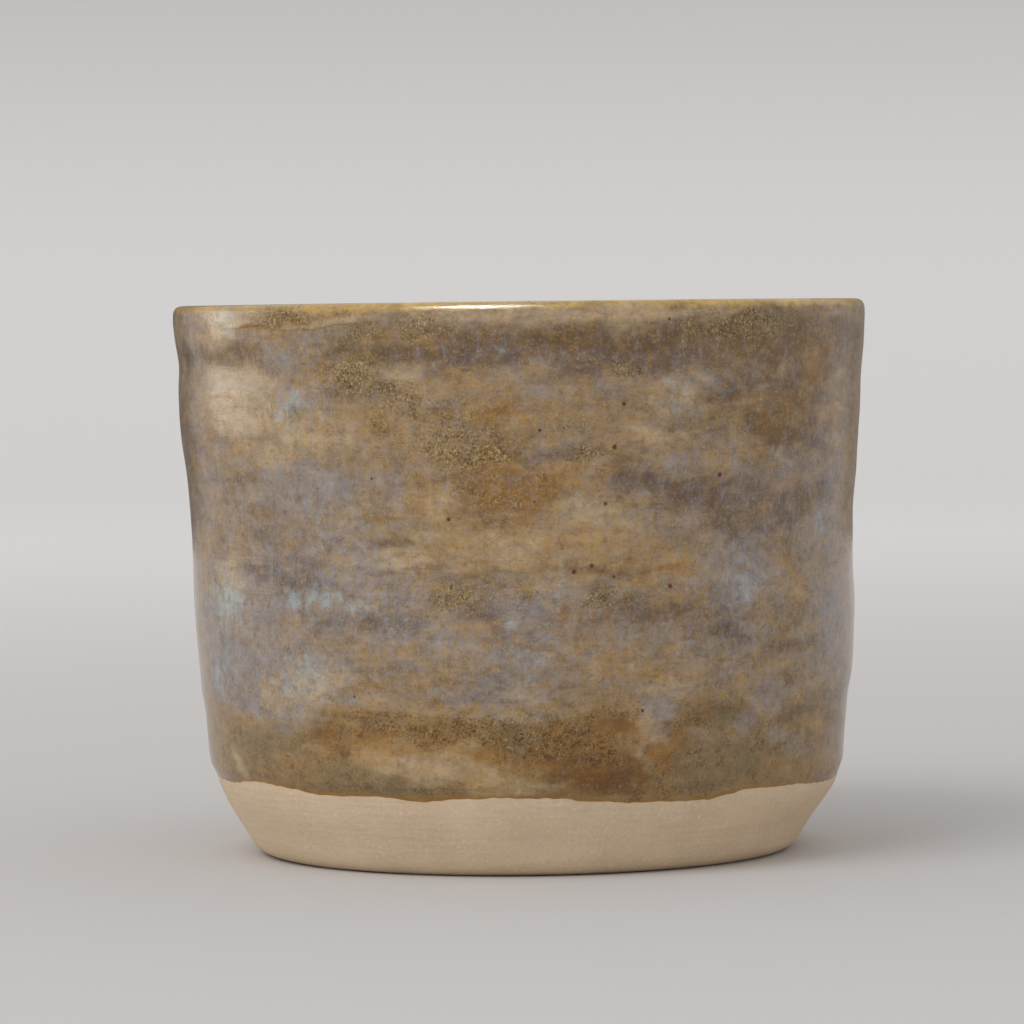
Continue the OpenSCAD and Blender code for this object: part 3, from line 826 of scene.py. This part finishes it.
def satin_liner_glaze():
    """Satin liner glaze, poured in and out: pale beige with faint rings and clouds."""
    material, tree = new_material("satin_liner_glaze")
    place = millimetres(tree)
    ringed = add(tree, "VectorMath", {0: place, 1: (0.3, 0.3, 1.5)}, **TIMES)["Vector"]
    look = {"Vector": ringed, "Scale": 1 / LINER_RING_SIZE, "Detail": 5, "Roughness": 0.6}
    rings = add(tree, "TexNoise", look)["Fac"]
    look = {"Vector": place, "Scale": 1 / LINER_CLOUD_SIZE, "Detail": 5, "Roughness": 0.6}
    cloud = add(tree, "TexNoise", look)["Fac"]
    look = {"Vector": place, "Scale": 1 / LINER_FLECK_SIZE, "Detail": 3, "Roughness": 0.7}
    fleck = add(tree, "SeparateColor", {0: add(tree, "TexNoise", look)["Color"]})
    tone = add(tree, "MapRange", {0: rings, 1: 0.35, 2: 0.65})[0]
    beige, pale_beige = (linear(shade) for shade in LINER_BEIGES)
    colour = add(tree, "Mix", {0: tone, 6: beige, 7: pale_beige}, **COLOURS)[2]
    haze = add(tree, "MapRange", {0: cloud, 1: 0.45, 2: 0.65, 4: 0.7})[0]
    colour = add(tree, "Mix", {0: haze, 6: colour, 7: linear(LINER_CLOUDS)}, **COLOURS)[2]
    for channel, shade, most in LINER_FLECKS:
        shows = add(tree, "MapRange", {0: fleck[channel], 1: 0.55, 2: 0.7, 4: most})[0]
        colour = add(tree, "Mix", {0: shows, 6: colour, 7: linear(shade)}, **COLOURS)[2]
    fired(tree, colour, roughness=0.28, ior=1.5, relief=rings, strength=0.2, depth=0.15)
    return material


def clay_body():
    """Thrown and trimmed clay, in fine rows where the bevel shows and in coarse ones under the
    glaze."""
    bearing = bearings(CLAY_COLUMNS)
    foot_edge = outside_at(0.05)
    bare_top = outside_at(GLAZE_LINE_H + 1.5)
    travel = rows(
        (POLE_R, FOOT_RING, 16),
        (FOOT_RING, foot_edge, 16),
        (foot_edge, bare_top, 72),
        (bare_top, LIP_OUTSIDE, 16),
        (LIP_OUTSIDE, CREST, 10),
        (CREST, LIP_INSIDE, 10),
        (LIP_INSIDE, FLOOR_EDGE, 20),
        (FLOOR_EDGE, END - POLE_R, 6),
        (END - POLE_R, END, 1),
    )
    height = on_section(travel, SECTION)[1]
    bare = ease(height, *TURNED) * (travel < CREST)
    turning = ripple("turning_lines", bearing, height) + ripple("turning_waves", bearing, height)
    mesh = closed_mesh("clay_body", surface(travel, bearing, turning * bare), poles=True)
    put_on_cup(mesh, "stoneware_body", bare_stoneware())


def amber_coat():
    """Base coat from the wavy glaze line to the crest, thin and burnt brown at its lower edge."""
    bearing = bearings(COAT_COLUMNS)
    start = outside_at(glaze_line(bearing[0]))
    seam = outside_at(blue_edge(bearing[0]) + 0.6)
    travel = rows((start, seam, 48), (seam, LIP_OUTSIDE, 24), (LIP_OUTSIDE, CREST, 12))
    back = rows((CREST, LIP_OUTSIDE, 12), (LIP_OUTSIDE, start, 24), (start, start, 1))
    rise = travel - start
    thick = THIN_EDGE_T + (BASE_COAT_T - THIN_EDGE_T) * ease(rise, 0, BASE_REACH)
    burnt = mound(rise, 0, BURNT_H) * (0.8 + ripple("burnt", bearing))
    shown = surface(travel, bearing, thick)
    mesh = closed_mesh("amber_coat", np.concatenate([shown, surface(back, bearing, 0)]))
    layers = pooled_layers(bearing, shown[..., 2], np.ones(rise.shape))
    paint(mesh, {**layers, "burnt": np.clip(burnt, 0, 1)})
    glaze = reactive_glaze("amber_ash_glaze", roughness=0.15, pits=0.3)
    put_on_cup(mesh, "amber_base_glaze", glaze)


def blue_coat():
    """Second coat, brushed round the wall in strokes that stand a little proud."""
    bearing = bearings(COAT_COLUMNS)
    start = outside_at(blue_edge(bearing[0]))
    stop = outside_at(rim_edge(bearing[0]))
    travel = rows((start, stop, 110), (stop, stop, 1))
    back = rows((stop, start, 36), (start, start, 1))
    height = on_section(travel, SECTION)[1]
    rise = travel - start
    brushed = ripple("brush_strokes", bearing, height) + ripple("brush_hairs", bearing, height)
    brushed = brushed * ease(stop - travel, 0, 1)
    thick = BLUE_COAT_T - THIN_EDGE_T + brushed
    thick = BASE_COAT_T + THIN_EDGE_T + thick * ease(rise, 0, BLUE_REACH)
    shown = surface(travel, bearing, thick)
    mesh = closed_mesh("blue_coat", np.concatenate([shown, surface(back, bearing, BASE_COAT_T)]))
    band = 1 - ease(rise, 0, 0.3 + 2.6 * flank(bearing))
    paint(mesh, pooled_layers(bearing, shown[..., 2], band))
    glaze = reactive_glaze("blue_rutile_glaze", roughness=0.15, pits=0.3)
    put_on_cup(mesh, "blue_brushed_glaze", glaze)


def rim_coat():
    """Third coat over the lip, from its wavy lap on the wall, beaded at one place, to a thin edge
    inside. It broke gold on the crest, and the gold is partly a painted highlight where the top of the
    lip catches the light. A thin brown line runs along the crest."""
    bearing = bearings(COAT_COLUMNS)
    start = outside_at(rim_edge(bearing[0]))
    stop = inside_at(RIM_INSIDE_EDGE_H + ripple("rim_inside_edge", bearing[0]))
    travel = rows((start, CREST, 36), (CREST, stop, 30), (stop, stop, 1))
    back = rows((stop, CREST, 16), (CREST, start, 16), (start, start, 1))
    under = BASE_COAT_T + (LINER_T - BASE_COAT_T) * (travel > CREST)
    lapped = 1 - ease(np.abs(bearing - BEAD_AT), *BEAD_FADES)
    bead = lapped * mound(travel - start, BEAD_UP, BEAD_HALF)
    lie = ease(stop - travel, 0, RIM_REACH)
    thick = under + THIN_EDGE_T + (RIM_COAT_T - THIN_EDGE_T) * lie + BEAD_H * bead
    shown = surface(travel, bearing, thick)
    mesh = closed_mesh("rim_coat", np.concatenate([shown, surface(back, bearing, BASE_COAT_T)]))
    layers = wash_layers(bearing, shown[..., 2])
    # Gold over the top of the lip: glaze broken thin there, and partly a painted highlight where the top
    # catches the light
    gold_low = CUP_H - GOLD_COMES - GOLD_LOWER * mound(bearing, *GOLD_LOWER_AT)
    gold = 0.95 * ease(shown[..., 2], gold_low, CUP_H - GOLD_FULL)
    # Strokes of amber hide the gold, and so does the cream on the left of the lip, which is painted
    # reflection of the window
    hidden = np.maximum(layers["amber"], layers["cream"] * (bearing < PAINTED_REFLECTION_BEYOND))
    inside = ease(travel - CREST, *GOLD_FADES)
    layers["gold"] = gold * (1 - GOLD_HIDDEN * hidden) * (1 - GOLD_FADED * inside)
    crest_line = mound(travel, CREST, CREST_LINE_HALF) * (0.5 + ripple("crest_line", bearing))
    layers["umber"] = np.maximum(layers["umber"], crest_line)
    layers["cream"] = np.maximum(layers["cream"], 0.95 * bead)
    paint(mesh, layers)
    glaze = reactive_glaze("honey_rim_glaze", roughness=0.1, pits=1.2)
    put_on_cup(mesh, "rim_glaze", glaze)


def liner_coat():
    """Coat over the whole inside, from the crest to the middle of the floor."""
    bearing = bearings(LINER_COLUMNS)
    hidden = rows((END - POLE_R, FLOOR_EDGE, 6), (FLOOR_EDGE, CREST, 24))
    shown = rows(
        (CREST, LIP_INSIDE, 8),
        (LIP_INSIDE, FLOOR_EDGE, 90),
        (FLOOR_EDGE, END - POLE_R, 24),
        (END - POLE_R, END, 1),
    )
    rings = np.concatenate([surface(hidden, bearing, 0), surface(shown, bearing, LINER_T)])
    mesh = closed_mesh("liner_coat", rings, poles=True)
    put_on_cup(mesh, "liner_glaze", satin_liner_glaze())


# Camera: at the photograph's distance and height, level with the lip, as a long lens sees it
CAMERA_DISTANCE = 515
CAMERA_HEIGHT = 55
AIM_HEIGHT = 34.18
AIM_ASIDE = -1.1
LENS = 178.5
SENSOR = 36
CAMERA_ROLL = -0.68

# Studio: a round paper floor, flat to one radius and risen to a height at another, and its greys under
# the cup, far from it and high up. The greys change over these distances and heights. They are painted
# shade near the cup and high up, and painted light far out on the floor
FLAT_R = 900
SWEEP_R = 1600
SWEEP_H = 400
FLOOR_RINGS = [5, 400]
SWEEP_ROWS = 33
SWEEP_COLUMNS = 96
PAPER_SHADED_NEAR = "#CCCAC9"
PAPER_LIT_FAR = ("#ECEBEB", 60, 760)
PAPER_SHADED_HIGH = ("#D2D0CF", 50, 230)
SKY = "#FDFBFA"
SKY_STRENGTH = 0.72
WINDOW_TINT = "#FFF0DC"
# Felt cards behind the cup at both sides, as width, lowest and highest edge and distance, and the grey
# and size of their nap
CARD = (84, 26, 96, 110)
FELT_NAP = "#66615E"
FELT_NAP_SIZE = 2


def aimed(stand, aim):
    """Pose of a camera or a light that stands at one place and faces another, both in millimetres."""
    stand, aim = Vector(stand) * MM, Vector(aim) * MM
    return Matrix.Translation(stand) @ (aim - stand).to_track_quat("-Z", "Y").to_matrix().to_4x4()


def place_camera():
    """The camera, at the photograph's viewing angle."""
    camera = new_object("camera", bpy.data.cameras.new("camera"))
    camera.data.lens = LENS
    camera.data.sensor_width = SENSOR
    camera.data.clip_start = 10 * MM
    pose = aimed((AIM_ASIDE, -CAMERA_DISTANCE, CAMERA_HEIGHT), (AIM_ASIDE, 0, AIM_HEIGHT))
    camera.matrix_world = pose @ Matrix.Rotation(math.radians(CAMERA_ROLL), 4, "Z")
    bpy.context.scene.camera = camera


def soft_light(name, stand, aim, size, power, tint="#FFFFFF", matte=True, gloss=True):
    """A soft light, placed and aimed in millimetres, for matte surfaces, for gloss or for both."""
    lamp = bpy.data.lights.new(name, "AREA")
    lamp.shape = "RECTANGLE"
    lamp.size, lamp.size_y = (side * MM for side in size)
    lamp.energy = power
    lamp.color = linear(tint)[:3]
    light = new_object(name, lamp)
    light.visible_diffuse = matte
    light.visible_glossy = gloss
    light.matrix_world = aimed(stand, aim)


def felt_card(name, bearing, felt):
    """A felt card that only the cup's gloss reflects, so that its edges stay deep in colour."""
    wide, low, high, off = CARD
    material, tree = new_material("grey_felt")
    look = {"Vector": millimetres(tree), "Scale": 1 / FELT_NAP_SIZE, "Detail": 3}
    nap = add(tree, "TexNoise", look)["Fac"]
    colour = add(tree, "Mix", {0: nap, 6: linear(felt), 7: linear(FELT_NAP)}, **COLOURS)[2]
    add(tree, "OutputMaterial", {"Surface": add(tree, "BsdfDiffuse", {"Color": colour})["BSDF"]})
    ends = ((-wide / 2, low), (wide / 2, low), (wide / 2, high), (-wide / 2, high))
    mesh = bpy.data.meshes.new(name)
    mesh.from_pydata([(x * MM, -off * MM, z * MM) for x, z in ends], [], [(0, 1, 2, 3)])
    mesh.materials.append(material)
    card = new_object(name, mesh)
    card.rotation_euler.z = math.radians(bearing)
    card.visible_camera = False
    card.visible_diffuse = False
    card.visible_shadow = False


def pale_paper():
    """Matte pale paper under and behind the cup, with painted shade near the cup and high up, and
    painted light that makes it palest where it starts to rise.
    """
    material, tree = new_material("matte_pale_paper")
    place = millimetres(tree)
    far = add(tree, "VectorMath", {0: place}, operation="LENGTH")["Value"]
    high = add(tree, "SeparateXYZ", {0: place})["Z"]
    # Painted shade near the cup, then painted light far out on the floor and painted shade high up
    colour = linear(PAPER_SHADED_NEAR)
    for value, (shade, low, top) in ((far, PAPER_LIT_FAR), (high, PAPER_SHADED_HIGH)):
        share = add(tree, "MapRange", {0: value, 1: low, 2: top}, **SMOOTH)[0]
        colour = add(tree, "Mix", {0: share, 6: colour, 7: linear(shade)}, **COLOURS)[2]
    finish = {"Base Color": colour, "Roughness": 0.9, "Specular IOR Level": 0.1}
    add(tree, "OutputMaterial", {"Surface": add(tree, "BsdfPrincipled", finish)["BSDF"]})
    return material


def paper_sweep():
    """A pale round floor that sweeps up into a backdrop on all sides."""
    share = np.linspace(0, 1, SWEEP_ROWS)
    radius = np.concatenate([FLOOR_RINGS, FLAT_R + (SWEEP_R - FLAT_R) * share])[:, None]
    height = np.concatenate([[0, 0], SWEEP_H * share ** 3])[:, None]
    around = np.radians(bearings(SWEEP_COLUMNS))
    flat = 0 * around
    rings = np.stack([radius * np.sin(around), -radius * np.cos(around), height + flat], axis=-1)
    count, columns = rings.shape[:2]
    index = np.arange(count * columns).reshape(count, columns)
    after = np.roll(index, -1, axis=1)
    quads = np.stack([index[:-1], index[1:], after[1:], after[:-1]], axis=-1).reshape(-1, 4)
    mesh = bpy.data.meshes.new("studio_sweep")
    mesh.from_pydata((rings.reshape(-1, 3) * MM).tolist(), [], quads.tolist() + [index[0].tolist()])
    mesh.shade_smooth()
    mesh.materials.append(pale_paper())
    sweep = new_object("studio_sweep", mesh)


def studio():
    """The paper floor, an even pale sky, a warm window at the back left for the glaze to reflect, a
    soft fill from the front left, and a light for the glint on the lip."""
    scene = bpy.context.scene
    scene.view_settings.view_transform = "Standard"
    paper_sweep()
    scene.world = bpy.data.worlds.new("studio_world")
    scene.world.use_nodes = True
    sky = scene.world.node_tree.nodes["Background"].inputs
    sky["Color"].default_value = linear(SKY)
    sky["Strength"].default_value = SKY_STRENGTH
    felt_card("left_card", -149, "#A09B98")
    felt_card("right_card", 149, "#C8BFB6")
    soft_light(
        "window", stand=(-483, 157, 140), aim=(0, 0, 140), size=(280, 235), power=0.68,
        tint=WINDOW_TINT, matte=False,
    )
    soft_light(
        "left_fill", stand=(-750, -750, 1100), aim=(0, 0, 30), size=(900, 900), power=6.8, gloss=False,
    )
    soft_light(
        "lip_glint", stand=(-120, -380, 480), aim=(0, 0, 55), size=(190, 340), power=8.4, matte=False,
    )


place_camera()
clay_body()
amber_coat()
blue_coat()
rim_coat()
liner_coat()
studio()
